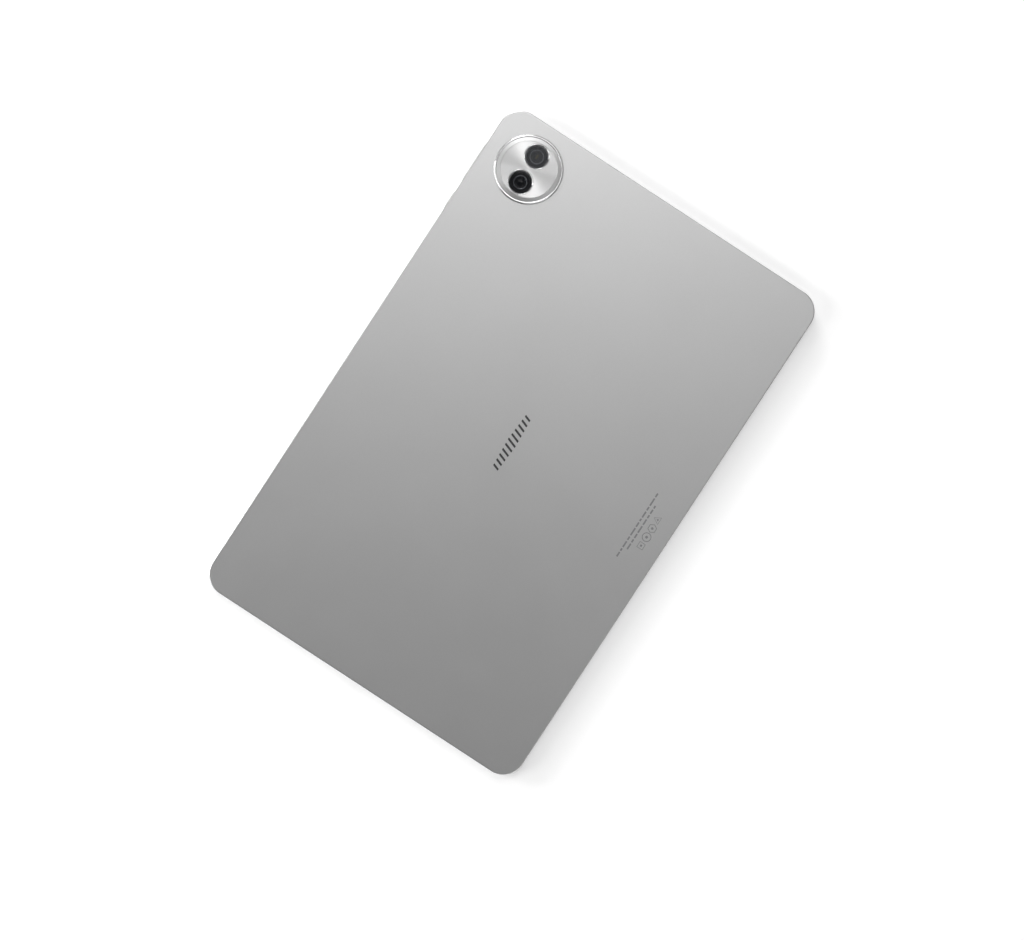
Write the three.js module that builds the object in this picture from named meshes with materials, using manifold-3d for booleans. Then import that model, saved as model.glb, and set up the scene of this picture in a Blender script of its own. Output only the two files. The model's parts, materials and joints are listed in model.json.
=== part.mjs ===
// A 12-inch class tablet computer, lying on its screen with the back up, as an assembly of its parts.
// Millimetres, +Z up. The origin is the middle of the cover glass's outer face, +X runs along the long
// side towards the rear camera, and +Y towards the long side that carries the keys.
import * as THREE from "three";
import { mergeVertices } from "three/addons/utils/BufferGeometryUtils.js";
import Module from "manifold-3d";

const wasm = await Module();
wasm.setup();

// ---------------------------------------------------------------- driving dimensions

const LENGTH = 277.1;
const WIDTH = 179.3;
const BACK_Z = 6.3; // outer face of the back
const RIM_Z = 0.35; // the metal rim stops short of the glass face
const CORNER_R = 11;
const BACK_EDGE_R = 0.6; // rounding from the back into the sides
const RIM_EDGE_R = 0.35;
const CORNER_STEPS = 8; // facets on a corner's quarter turn

const PLATE_T = 0.8; // back plate
const WALL_T = 3; // side wall beside the component bay
const LIP_T = 1.2; // side wall beside the glass
const LEDGE_Z = 1.95; // where the lip steps in to the full wall
const BAY_TOP = BACK_Z - PLATE_T;
const BAY_Z = 2.1; // lowest level of the component bay

const GLASS_T = 0.55;
const GLASS_INSET = 1.8;
const FIT = 0.05; // air between pieces that lie on each other

const HALF_X = LENGTH / 2;
const HALF_Y = WIDTH / 2;
const WALL_X = HALF_X - WALL_T; // inner faces of the bay
const WALL_Y = HALF_Y - WALL_T;

const BOARD_Z = 3; // both circuit boards lie at this level
const BOARD_T = 0.7;
const BOARD_TOP = BOARD_Z + BOARD_T;

const DECK = { x: 115.1, y: 65.6, r: 16.7, top: 7.5 }; // round camera deck
const DECK_BAND_Z = 7.1; // top of the deck's rounded outer band, at the foot of its sloping bezel
const DECK_SEAT_Z = 6; // floor of the shallow recess that the deck's ring stands in
const DECK_HOLE_R = 13;
const LENS_OFFSET = 7.3; // from the deck's centre to each window, along X
const PLATE_R = 13.8; // spun plate inside the deck ring
const PLATE_FACE = 7.3;
const WINDOW_R = 5.8;
const CAMERA_X = DECK.x - LENS_OFFSET;
const FLASH_X = DECK.x + LENS_OFFSET;

const KEY_Z = 3.3; // mid height of the side keys
const KEY_PROUD = 0.5;
const KEY_H = 2.4;
const KEY_GAP = 0.12; // running clearance round a key
const FLANGE_GAP = 0.35; // room for the rocker's far end to tip outwards
const POCKET_Y = HALF_Y - 1.65; // back of the wall that is left in front of a key's flange
const POWER = { x: 81.9, length: 10 };
const VOLUME = { x: 104, length: 21.8 };
const DOME_ARM = 7.5; // from the rocker's middle to each of its domes

const GRILLE_Y = 44; // middle of each speaker grille
const GRILLE_HOLES = 10;
const GRILLE_PITCH = 2.4;
const GRILLE_R = 0.65;
const SIDE_HOLE_Z = 3.3;

const USB = { z: 3.75, w: 8.94, h: 3.16, wall: 0.3, depth: 7.5, cavity: 6.6 };
const USB_MOUTH_X = -HALF_X + 0.1;
const SIDE_MIC_Y = 23.8;
const TOP_MIC_X = 60;
const FRONT_CAMERA_Y = 85;
const LIGHT_SENSOR_X = 9;

const BOSSES = [
  [26, 78, "main_board_screw_1"],
  [95, 52, "main_board_screw_2"],
  [95, -23, "main_board_screw_3"],
  [-128.5, 13, "sub_board_screw_1"],
  [-128.5, -13, "sub_board_screw_2"],
];
const BOSS_R = 1.8;
const SCREW = { head: 1.5, headT: 0.5, shank: 0.55, hole: 0.75, length: 1.9 };

// ---------------------------------------------------------------- finishes

function finish(color, roughness, metalness, extra = {}) {
  return new THREE.MeshStandardMaterial({ color, roughness, metalness, ...extra });
}

const anodised = finish(0xb9babb, 0.42, 1);
const polished = finish(0xd8dadb, 0.12, 1);
const spun = finish(0xd2d4d6, 0.28, 1);
const steel = finish(0xa9abad, 0.35, 1);
const blackGlass = finish(0x0a0b0d, 0.05, 0, { transparent: true, opacity: 0.9 });
const clearGlass = finish(0xdfe6ea, 0.04, 0, { transparent: true, opacity: 0.4 });
const blackPlastic = finish(0x17181a, 0.55, 0);
const whitePlastic = finish(0xe9ebec, 0.5, 0);
const foil = finish(0x2c2e31, 0.45, 0.6);
const solderMask = finish(0x143a2c, 0.5, 0);
const flexFilm = finish(0x8a5a20, 0.45, 0);
const rubber = finish(0x101112, 0.85, 0);
const graphite = finish(0x3a3b3d, 0.6, 0.2);
const copper = finish(0xb8763f, 0.35, 1);
const weave = finish(0x1c1d1f, 0.9, 0);

// ---------------------------------------------------------------- shapes

// A closed three.js geometry as a manifold-3d solid.
function solidOf(geometry) {
  const bare = geometry.index ? geometry.toNonIndexed() : geometry.clone();
  bare.deleteAttribute("normal");
  bare.deleteAttribute("uv");
  const merged = mergeVertices(bare);
  return new wasm.Manifold(
    new wasm.Mesh({
      numProp: 3,
      vertProperties: merged.attributes.position.array,
      triVerts: new Uint32Array(merged.index.array),
    }),
  );
}

// A manifold-3d solid back as a three.js geometry.
function geometryOf(solid) {
  const mesh = solid.getMesh();
  const geometry = new THREE.BufferGeometry();
  geometry.setAttribute("position", new THREE.BufferAttribute(mesh.vertProperties, mesh.numProp));
  geometry.setIndex(new THREE.BufferAttribute(mesh.triVerts, 1));
  geometry.computeVertexNormals();
  return geometry;
}

function join(...geometries) {
  return geometryOf(geometries.map(solidOf).reduce((a, b) => a.add(b)));
}

function cut(geometry, ...tools) {
  return geometryOf(tools.map(solidOf).reduce((a, b) => a.subtract(b), solidOf(geometry)));
}

function intersect(a, b) {
  return geometryOf(solidOf(a).intersect(solidOf(b)));
}

// A rectangle with round corners, centred on the origin.
function roundedRect(halfX, halfY, radius) {
  const shape = new THREE.Shape();
  const cx = halfX - radius;
  const cy = halfY - radius;
  shape.absarc(cx, cy, radius, 0, 0.5 * Math.PI);
  shape.absarc(-cx, cy, radius, 0.5 * Math.PI, Math.PI);
  shape.absarc(-cx, -cy, radius, Math.PI, 1.5 * Math.PI);
  shape.absarc(cx, -cy, radius, 1.5 * Math.PI, 2 * Math.PI);
  shape.closePath();
  return shape;
}

// A shape extruded from z0 to z1. A bevel rounds both ends and stays inside the shape's outline.
function extrude(shape, z0, z1, { steps = 6, bevel = 0, bevelSteps = 3 } = {}) {
  const geometry = new THREE.ExtrudeGeometry(shape, {
    depth: z1 - z0 - 2 * bevel,
    curveSegments: steps,
    bevelEnabled: bevel > 0,
    bevelThickness: bevel,
    bevelSize: bevel,
    bevelOffset: -bevel,
    bevelSegments: bevelSteps,
  });
  return geometry.translate(0, 0, z0 + bevel);
}

// The tablet's own outline, drawn in from its edge by inset.
function outline(inset) {
  return roundedRect(HALF_X - inset, HALF_Y - inset, CORNER_R - inset);
}

function box(x0, x1, y0, y1, z0, z1) {
  const geometry = new THREE.BoxGeometry(x1 - x0, y1 - y0, z1 - z0);
  return geometry.translate((x0 + x1) / 2, (y0 + y1) / 2, (z0 + z1) / 2);
}

// A box centred on x and y.
function block(x, y, sizeX, sizeY, z0, z1) {
  return box(x - sizeX / 2, x + sizeX / 2, y - sizeY / 2, y + sizeY / 2, z0, z1);
}

// A round bar along Z.
function disc(x, y, radius, z0, z1, sides = 24) {
  const geometry = new THREE.CylinderGeometry(radius, radius, z1 - z0, sides);
  return geometry.rotateX(Math.PI / 2).translate(x, y, (z0 + z1) / 2);
}

// A turned ring round the Z axis, from a closed profile of [radius, z] points, counter-clockwise.
function turned(profile, sides) {
  const points = [...profile, profile[0]].map(([r, z]) => new THREE.Vector2(r, z));
  return new THREE.LatheGeometry(points, sides).rotateX(Math.PI / 2);
}

// A solid of revolution round the Z axis, from an open profile of [radius, z] points that starts and
// ends on the axis.
function spunSolid(profile, sides) {
  const points = profile.map(([r, z]) => new THREE.Vector2(r, z));
  return new THREE.LatheGeometry(points, sides).rotateX(Math.PI / 2);
}

// Turn a geometry made along Z to lie along X or along Y.
function alongX(geometry) {
  return geometry.rotateY(Math.PI / 2);
}

function alongY(geometry) {
  return geometry.rotateX(-Math.PI / 2);
}

// A slot-shaped bar along Y, centred on x and KEY_Z.
function keyBar(x, length, height, y0, y1, bevel = 0) {
  const shape = roundedRect(length / 2, height / 2, height / 2);
  return alongY(extrude(shape, y0, y1, { steps: 4, bevel, bevelSteps: 1 })).translate(x, 0, KEY_Z);
}

// A slot-shaped bar along X, of the charging socket's size grown by grow on each side.
function socketBar(x0, x1, grow) {
  const halfH = USB.h / 2 + grow;
  const shape = roundedRect(halfH, USB.w / 2 + grow, halfH);
  return alongX(extrude(shape, x0, x1, { steps: 4 })).translate(0, 0, USB.z);
}

// A sheet-metal can: a box with walls of the given thickness, open downwards.
function can(x0, x1, y0, y1, z0, z1, wall) {
  const inside = box(x0 + wall, x1 - wall, y0 + wall, y1 - wall, z0 - 1, z1 - wall);
  return cut(box(x0, x1, y0, y1, z0, z1), inside);
}

// ---------------------------------------------------------------- the assembly

const tablet = new THREE.Group();

function part(name, geometry, material, parent = tablet) {
  const mesh = new THREE.Mesh(geometry, material);
  mesh.name = name;
  parent.add(mesh);
  return mesh;
}

// ---------------------------------------------------------------- rear housing

function housingBlank() {
  const below = 4; // each blank runs on past the end that the other one shapes
  const top = extrude(outline(0), -below, BACK_Z, { steps: CORNER_STEPS, bevel: BACK_EDGE_R });
  const rim = extrude(outline(0), RIM_Z, BACK_Z + below, {
    steps: CORNER_STEPS,
    bevel: RIM_EDGE_R,
    bevelSteps: 1,
  });
  return intersect(top, rim);
}

function grilleDrills() {
  const drills = [];
  const span = (GRILLE_HOLES - 1) * GRILLE_PITCH;
  for (const sideX of [-1, 1]) {
    for (const sideY of [-1, 1]) {
      for (let i = 0; i < GRILLE_HOLES; i += 1) {
        const y = sideY * GRILLE_Y - span / 2 + i * GRILLE_PITCH;
        const drill = new THREE.CylinderGeometry(GRILLE_R, GRILLE_R, WALL_T + 2, 8);
        drill.rotateZ(Math.PI / 2).translate(sideX * (HALF_X - WALL_T / 2), y, SIDE_HOLE_Z);
        drills.push(drill);
      }
    }
  }
  return drills;
}

function microphoneDrills() {
  const r = 0.45;
  const side = new THREE.CylinderGeometry(r, r, WALL_T + 2, 8).rotateZ(Math.PI / 2);
  const top = new THREE.CylinderGeometry(r, r, WALL_T + 2, 8);
  return [
    side.translate(-HALF_X + WALL_T / 2, SIDE_MIC_Y, SIDE_HOLE_Z),
    top.translate(TOP_MIC_X, HALF_Y - WALL_T / 2, SIDE_HOLE_Z),
  ];
}

function keyOpenings() {
  const clear = 2 * KEY_GAP;
  return [POWER, VOLUME].flatMap(({ x, length }) => [
    keyBar(x, length + clear, KEY_H + clear, POCKET_Y - 1, HALF_Y + 1),
    box(x - length / 2 - 1.7, x + length / 2 + 1.7, POCKET_Y - 2.5, POCKET_Y, KEY_Z - 1.35, KEY_Z + 1.35),
  ]);
}

function bosses() {
  return BOSSES.map(([x, y]) => disc(x, y, BOSS_R, BOARD_TOP + FIT, BAY_TOP + 0.2, 12));
}

function bossHoles() {
  return BOSSES.map(([x, y]) => disc(x, y, SCREW.hole, BOARD_TOP - 1, BAY_TOP - 0.1, 8));
}

const glassWell = extrude(outline(LIP_T), RIM_Z - 1, LEDGE_Z, { steps: 8 });
const bay = extrude(outline(WALL_T), LEDGE_Z - 1, BAY_TOP, { steps: 8 });
const frontCameraPocket = block(0, FRONT_CAMERA_Y + 1, 5.6, 3.2, LEDGE_Z - 1, 5.2);
const housing = cut(join(cut(housingBlank(), glassWell, bay), ...bosses()), ...bossHoles());
const deckHole = disc(DECK.x, DECK.y, DECK_HOLE_R, BAY_TOP - 1, BACK_Z + 1, 40);
const deckRecess = disc(DECK.x, DECK.y, DECK.r + 0.2, DECK_SEAT_Z, BACK_Z + 1, 40);
const socketHole = socketBar(-HALF_X - 1, -WALL_X + 1, 0.15);
part(
  "rear_housing",
  cut(
    housing,
    deckHole,
    deckRecess,
    socketHole,
    frontCameraPocket,
    ...keyOpenings(),
    ...grilleDrills(),
    ...microphoneDrills(),
  ),
  anodised,
);

// ---------------------------------------------------------------- display stack

const GLASS_R = CORNER_R - GLASS_INSET;
const TAPE_Z = GLASS_T + 0.02;
const TAPE_T = 0.15;
const FRAME_Z = TAPE_Z + TAPE_T + 0.02;
const FRAME_INNER = 4.5;
const CELL = { x: 132, y: 83, shiftY: -0.4, z: GLASS_T + FIT, t: 0.45 };
const TRAY = { x: 132.6, y: 83.3, z: 1.1, top: 1.95, wall: 0.35, floor: 0.15 };

const glassShape = roundedRect(HALF_X - GLASS_INSET, HALF_Y - GLASS_INSET, GLASS_R);
part("cover_glass", extrude(glassShape, 0, GLASS_T, { steps: 8, bevel: 0.12, bevelSteps: 1 }), blackGlass);

const sensorHoles = [
  disc(0, FRONT_CAMERA_Y, 1.8, 0, LEDGE_Z + 1, 16),
  block(LIGHT_SENSOR_X, FRONT_CAMERA_Y, 2.8, 2.8, 0, LEDGE_Z + 1),
];

function displayFrame() {
  const outer = extrude(outline(LIP_T + FIT), 0.3, LEDGE_Z - FIT, { steps: 7 });
  const well = extrude(outline(GLASS_INSET - FIT), 0, FRAME_Z, { steps: 7 });
  const window = extrude(roundedRect(HALF_X - FRAME_INNER, HALF_Y - FRAME_INNER, 3), 0, LEDGE_Z + 1, { steps: 4 });
  return cut(outer, well, window, ...sensorHoles);
}

function displayTape() {
  const outer = extrude(outline(GLASS_INSET + 0.3), TAPE_Z, TAPE_Z + TAPE_T, { steps: 6 });
  const window = extrude(roundedRect(HALF_X - FRAME_INNER + 0.1, HALF_Y - FRAME_INNER + 0.1, 3), 0, 2, {
    steps: 4,
  });
  return cut(outer, window, ...sensorHoles);
}

part("display_frame", displayFrame(), blackPlastic);
part("display_adhesive", displayTape(), rubber);

const stack = new THREE.Group();
stack.position.set(0, CELL.shiftY, 0);
tablet.add(stack);

const insideX = TRAY.x - TRAY.wall - 0.1;
const insideY = TRAY.y - TRAY.wall - 0.1;
const LED_BAR_H = 1.6;

part("lcd_panel", block(0, 0, 2 * CELL.x, 2 * CELL.y, CELL.z, CELL.z + CELL.t), blackGlass, stack);
part("optical_films", block(0, 0, 2 * insideX, 2 * insideY, 1.12, 1.26), whitePlastic, stack);
part("light_guide", box(-insideX, insideX, -insideY + LED_BAR_H + 0.1, insideY, 1.31, 1.74), clearGlass, stack);
part("backlight_led_bar", box(-insideX + 6, insideX - 6, -insideY, -insideY + LED_BAR_H, 1.31, 1.74), whitePlastic, stack);

function backlightTray() {
  const pan = block(0, 0, 2 * TRAY.x, 2 * TRAY.y, TRAY.z, TRAY.top);
  const inner = block(0, 0, 2 * (TRAY.x - TRAY.wall), 2 * (TRAY.y - TRAY.wall), 0, TRAY.top - TRAY.floor);
  return cut(pan, inner);
}

part("backlight_tray", backlightTray(), steel, stack);

// The panel's flex leaves the cell's upper edge, turns round the tray and lies behind it.
function displayFlex() {
  const [x0, x1, t] = [30, 56, 0.12];
  const edgeY = TRAY.y + CELL.shiftY + 0.2;
  const drop = box(x0, x1, edgeY, edgeY + t, 0.75, 2.05 + t);
  const run = box(x0, x1, 60, edgeY + t, 2.05, 2.05 + t);
  const plug = box(x0 + 4, x1 - 4, 60, 63.5, 2.1, BOARD_Z - FIT);
  return join(drop, run, plug);
}

part("display_flex", displayFlex(), flexFilm);

// ---------------------------------------------------------------- side keys

const FLANGE_Y = POCKET_Y - FLANGE_GAP; // outer face of a key's flange
const FLANGE_T = 0.7;
const NUB_END = FLANGE_Y - FLANGE_T - 0.4;
const KEY_TRAVEL = 0.25;
const DOME_H = 0.15;
const FLEX_FACE = NUB_END - KEY_TRAVEL - FIT - DOME_H; // the domes stand on the key flex here
const KEY_FLEX_T = 0.15;
const BRACKET_T = 0.4;

function nub(x) {
  const bar = new THREE.CylinderGeometry(0.8, 0.8, 0.8, 8);
  return bar.translate(x, NUB_END + 0.4, KEY_Z);
}

function key({ x, length }, nubs) {
  const cap = keyBar(x, length, KEY_H, FLANGE_Y - 0.1, HALF_Y + KEY_PROUD, 0.3);
  const flange = box(
    x - length / 2 - 1.2,
    x + length / 2 + 1.2,
    FLANGE_Y - FLANGE_T,
    FLANGE_Y,
    KEY_Z - 1.25,
    KEY_Z + 1.25,
  );
  return join(cap, flange, ...nubs.map((offset) => nub(x + offset)));
}

part("power_button", key(POWER, [0]), anodised);
part("volume_rocker", key(VOLUME, [-DOME_ARM, DOME_ARM]), anodised);

// A snap dome, a shallow cap that stands on the key flex.
function dome(x) {
  const cap = new THREE.CylinderGeometry(0.9, 1.5, DOME_H - 0.02, 12);
  return cap.translate(x, FLEX_FACE + DOME_H / 2, KEY_Z);
}

part("power_dome", dome(POWER.x), steel);
part("volume_up_dome", dome(VOLUME.x + DOME_ARM), steel);
part("volume_down_dome", dome(VOLUME.x - DOME_ARM), steel);

function sideKeyFlex() {
  const strip = box(74, 119, FLEX_FACE - KEY_FLEX_T, FLEX_FACE, 2, 4.6);
  const tail = box(74, 79, 76, FLEX_FACE - KEY_FLEX_T / 2, 4.45, 4.6);
  const plug = box(74, 79, 76, 79, BOARD_TOP + FIT, 4.6);
  return join(strip, tail, plug);
}

function sideKeyBracket() {
  const face = FLEX_FACE - KEY_FLEX_T - 0.02;
  const plate = box(72, 121, face - BRACKET_T, face, 2, 4.4);
  const foot = box(82, 94, 79, face - BRACKET_T / 2, BOARD_TOP + FIT, 4.15);
  return join(plate, foot);
}

part("side_key_flex", sideKeyFlex(), flexFilm);
part("side_key_bracket", sideKeyBracket(), steel);

// ---------------------------------------------------------------- camera deck

const DECK_SIDES = 40;
const LENS_SIDES = 28;
const SEAT_Z = DECK_SEAT_Z + 0.02;
const LEDGE_TOP = 6.7; // the spun plate lies on this ledge of the ring

const deck = new THREE.Group();
deck.position.set(DECK.x, DECK.y, 0);
tablet.add(deck);

const ringProfile = [
  [12.5, 5.65],
  [12.9, 5.65],
  [12.9, SEAT_Z],
  [DECK.r - 0.1, SEAT_Z],
  [DECK.r, SEAT_Z + 0.1],
  [DECK.r, DECK_BAND_Z - 0.3],
  [DECK.r - 0.3, DECK_BAND_Z],
  [DECK.r - 0.7, DECK_BAND_Z],
  [DECK.r - 1.1, DECK_BAND_Z - 0.1],
  [PLATE_R + 0.2, DECK.top],
  [PLATE_R + FIT, DECK.top],
  [PLATE_R + FIT, LEDGE_TOP],
  [12.5, LEDGE_TOP],
];
part("camera_deck_ring", turned(ringProfile, DECK_SIDES), polished, deck);

const TRIM = { outer: 6.2, inner: WINDOW_R + FIT, z0: LEDGE_TOP + 0.02, top: PLATE_FACE + 0.16 };

function deckPlate() {
  const blank = disc(0, 0, PLATE_R, LEDGE_TOP + 0.02, PLATE_FACE, DECK_SIDES);
  const holes = [-1, 1].map((side) => disc(side * LENS_OFFSET, 0, TRIM.outer + 0.1, 6, 8, LENS_SIDES));
  return cut(blank, ...holes);
}

part("camera_deck_plate", deckPlate(), spun, deck);

const trimProfile = [
  [TRIM.inner - 0.35, TRIM.z0],
  [TRIM.outer, TRIM.z0],
  [TRIM.outer, TRIM.top],
  [TRIM.inner, TRIM.top],
  [TRIM.inner, TRIM.z0 + 0.2],
  [TRIM.inner - 0.35, TRIM.z0 + 0.2],
];
const WINDOW_Z = TRIM.z0 + 0.22;

for (const [side, lens] of [
  [-1, "camera"],
  [1, "flash"],
]) {
  const trim = part(lens + "_trim_ring", turned(trimProfile, LENS_SIDES), polished, deck);
  trim.position.x = side * LENS_OFFSET;
  const pane = part(lens + "_window", disc(0, 0, WINDOW_R, WINDOW_Z, PLATE_FACE + 0.1, LENS_SIDES), clearGlass, deck);
  pane.position.x = side * LENS_OFFSET;
}

// ---------------------------------------------------------------- cameras and flash

const BARREL = { r: 3.5, bore: 3.65, z0: 3.5, z1: 6.3, seat: 3.3 };
const CAMERA_TOP = 5.6;

function rearCameraBody() {
  const body = block(CAMERA_X, DECK.y, 9.2, 9.2, BAY_Z + 0.5, CAMERA_TOP);
  const base = block(CAMERA_X, DECK.y, 9.8, 10.4, BAY_Z, BAY_Z + 0.6);
  return cut(join(body, base), disc(CAMERA_X, DECK.y, BARREL.bore, BARREL.seat, 8, 20));
}

// The lens barrel, with a dished front round the first element.
function focusBarrel() {
  const profile = [
    [0, BARREL.z0],
    [BARREL.r, BARREL.z0],
    [BARREL.r, BARREL.z1 - 0.2],
    [BARREL.r - 0.2, BARREL.z1],
    [BARREL.r - 0.5, BARREL.z1 - 0.1],
    [2.2, BARREL.z1 - 0.6],
    [1.2, BARREL.z1 - 0.42],
    [0, BARREL.z1 - 0.35],
  ];
  return spunSolid(profile, 20).translate(CAMERA_X, DECK.y, 0);
}

function rearCameraFlex() {
  const strip = box(96.5, CAMERA_X - 4.95, 62.6, 68.6, 4.5, 4.65);
  const plug = box(94.5, 98, 62.6, 68.6, BOARD_TOP + FIT, 4.65);
  return join(strip, plug);
}

// The flash LEDs under their round lens, with a rim round them and a post down to the tray.
function flashBoard() {
  const [base, top] = [5.6, 6];
  const profile = [
    [0, BAY_Z + 0.4],
    [1.5, BAY_Z + 0.4],
    [1.5, base],
    [5, base],
    [5, top],
    [3.55, top],
    [3.3, top + 0.35],
    [3.05, top],
    [1.6, top],
    [1.6, top + 0.4],
    [0, top + 0.5],
  ];
  return spunSolid(profile, 20).translate(FLASH_X, DECK.y, 0);
}

function frontCamera() {
  const barrel = disc(0, FRONT_CAMERA_Y, 1.5, 0.75, BAY_Z + 0.1, 16);
  const body = block(0, FRONT_CAMERA_Y, 4.6, 4.6, BAY_Z, 4.9);
  return join(barrel, body);
}

part("rear_camera_body", rearCameraBody(), blackPlastic);
part("focus_barrel", focusBarrel(), blackPlastic);
part("rear_camera_flex", rearCameraFlex(), flexFilm);
part("flash_led_board", flashBoard(), whitePlastic);
part("front_camera", frontCamera(), blackPlastic);
part("light_sensor", block(LIGHT_SENSOR_X, FRONT_CAMERA_Y, 2.2, 2.2, 0.75, LEDGE_Z), blackPlastic);

// ---------------------------------------------------------------- circuit boards

const BOARD = { left: 20, right: 100, top: 82.8, armBottom: 47, legLeft: 66, bottom: -28 };

// The main board is an L: an arm along the keyed side and a leg beside the battery.
function mainBoard() {
  const arm = box(BOARD.left, BOARD.right, BOARD.armBottom, BOARD.top, BOARD_Z, BOARD_TOP);
  const leg = box(BOARD.legLeft, BOARD.right, BOARD.bottom, BOARD.armBottom + 1, BOARD_Z, BOARD_TOP);
  const screwHoles = BOSSES.slice(0, 3).map(([x, y]) => disc(x, y, 0.9, 2, 5, 12));
  const sockets = [
    box(86, 91, 30, 44, BOARD_TOP - 0.1, BOARD_TOP + 0.9),
    box(70, 84, -26, -23, BOARD_TOP - 0.1, BOARD_TOP + 0.9),
    box(24, 27, 49, 60, BOARD_TOP - 0.1, BOARD_TOP + 0.7),
    box(86, 91, 72, 78, BOARD_TOP - 0.1, BOARD_TOP + 1.2),
  ];
  return join(cut(join(arm, leg), ...screwHoles), ...sockets);
}

function subBoard() {
  const board = box(-134.9, -112, -17, 17, BOARD_Z, BOARD_TOP);
  const notch = box(-136, USB_MOUTH_X + USB.depth + 0.2, -4.8, 4.8, 2, 5);
  const screwHoles = BOSSES.slice(3).map(([x, y]) => disc(x, y, 0.9, 2, 5, 12));
  const socket = box(-120, -116.5, -7, 7, BOARD_TOP - 0.1, BOARD_TOP + 0.8);
  return join(cut(board, notch, ...screwHoles), socket);
}

const SHIELD_Z = BOARD_TOP + FIT;
const SHIELD_TOP = 5.15;
const SHIELD_T = 0.2;

part("main_board", mainBoard(), solderMask);
part("processor_shield", can(34, 66, 50, 80, SHIELD_Z, SHIELD_TOP, SHIELD_T), steel);
part("radio_shield", can(68.5, 84, 54, 74, SHIELD_Z, SHIELD_TOP, SHIELD_T), steel);
part("power_shield", can(69, 84, -18, 44, SHIELD_Z, SHIELD_TOP, SHIELD_T), steel);
part("heat_spreader", box(30, 86, -20, 82, 5.24, 5.38), graphite);
part("sub_board", subBoard(), solderMask);

for (const [x, y, name] of BOSSES) {
  const headTop = BOARD_Z - FIT;
  const head = disc(x, y, SCREW.head, headTop - SCREW.headT, headTop, 12);
  const drive = disc(x, y, 0.7, headTop - SCREW.headT - 1, headTop - SCREW.headT + 0.25, 6);
  const shank = disc(x, y, SCREW.shank, headTop - 0.1, headTop + SCREW.length, 8);
  part(name, join(cut(head, drive), shank), steel);
}

// ---------------------------------------------------------------- charging socket

function socketShell() {
  const outer = socketBar(USB_MOUTH_X, USB_MOUTH_X + USB.depth, 0);
  return cut(outer, socketBar(USB_MOUTH_X - 1, USB_MOUTH_X + USB.cavity, -USB.wall));
}

function socketTongue() {
  const root = USB_MOUTH_X + USB.cavity - FIT;
  const blade = box(root - 5.6, root, -3.35, 3.35, USB.z - 0.35, USB.z + 0.35);
  const heel = box(root - 1.2, root, -3.6, 3.6, USB.z - 0.65, USB.z + 0.65);
  return join(blade, heel);
}

part("usb_c_shell", socketShell(), steel);
part("usb_c_tongue", socketTongue(), blackPlastic);

// ---------------------------------------------------------------- battery and link flex

const CELL_SIZE = { x: 79, y: 120, z0: 2.2, z1: 5.15 };
const CELL_Y = -22;

for (const [name, x] of [
  ["battery_cell_left", -58.5],
  ["battery_cell_right", 22.5],
]) {
  const pouch = roundedRect(CELL_SIZE.x / 2, CELL_SIZE.y / 2, 1.5);
  const cell = part(name, extrude(pouch, CELL_SIZE.z0, CELL_SIZE.z1, { steps: 2, bevel: 0.5, bevelSteps: 1 }), foil);
  cell.position.set(x, CELL_Y, 0);
}

// The cells' protection board, with the flat tail that plugs into the main board.
function protectionBoard() {
  const [x0, x1, z0, z1] = [28.5, 33, 4.55, 4.7];
  const board = box(-60, x1, 38.6, 43.6, BOARD_Z, 4.3);
  const tail = box(x0, x1, 42, 66, z0, z1);
  return join(board, box(x0, x1, 42, 43.6, 4.2, z1), tail, box(x0, x1, 62, 66, BOARD_TOP + FIT, z1));
}

part("battery_protection_board", protectionBoard(), solderMask);

function linkFlex() {
  const [z0, z1] = [4.55, 4.7];
  const run = box(-107, 27, 49, 55, z0, z1);
  const drop = box(-107, -100, -7, 52, z0, z1);
  const tail = box(-120, -103, -7, 7, z0, z1);
  return join(run, drop, tail);
}

part("link_flex", linkFlex(), flexFilm);

// ---------------------------------------------------------------- speakers and microphones

const SPEAKER = { deep: 26, wide: 32, z0: BAY_Z, z1: 5.3, wall: 0.5 };
const SPEAKER_X = WALL_X - 0.3 - SPEAKER.deep / 2; // middle of each speaker box
const DRIVER_X = -3; // the driver sits back from the outlet
const MAGNET_TOP = 3.6;
const COIL = { inner: 3.2, outer: 3.6, low: 3.45 };
const CONE = { z0: 4.15, z1: 4.35, half: 7.5 };

// The box is open towards the grille, and its floor carries the driver's basket and magnet.
function speakerBox() {
  const shell = block(0, 0, SPEAKER.deep, SPEAKER.wide, SPEAKER.z0, SPEAKER.z1);
  const chamber = box(
    -SPEAKER.deep / 2 + 1,
    SPEAKER.deep / 2 + 1,
    -SPEAKER.wide / 2 + 1.5,
    SPEAKER.wide / 2 - 1.5,
    SPEAKER.z0 + SPEAKER.wall,
    SPEAKER.z1 - SPEAKER.wall,
  );
  const magnet = block(DRIVER_X, 0, 13, 13, SPEAKER.z0 + 0.2, MAGNET_TOP);
  const gap = cut(disc(DRIVER_X, 0, 4.1, 2.9, 4, 14), disc(DRIVER_X, 0, 2.7, 2, 5, 14));
  const basket = cut(
    block(DRIVER_X, 0, 2 * CONE.half + 1.6, 2 * CONE.half + 1.6, SPEAKER.z0 + 0.2, CONE.z0),
    block(DRIVER_X, 0, 2 * CONE.half + 0.7, 2 * CONE.half + 0.7, SPEAKER.z0, CONE.z1),
  );
  return join(cut(shell, chamber), basket, cut(magnet, gap));
}

function speakerDiaphragm() {
  const sheet = extrude(roundedRect(CONE.half, CONE.half, 2), CONE.z0, CONE.z1, { steps: 2 });
  const coil = cut(disc(0, 0, COIL.outer, COIL.low, CONE.z0 + 0.1, 14), disc(0, 0, COIL.inner, 3, CONE.z0, 14));
  return join(sheet, coil).translate(DRIVER_X, 0, 0);
}

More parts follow.
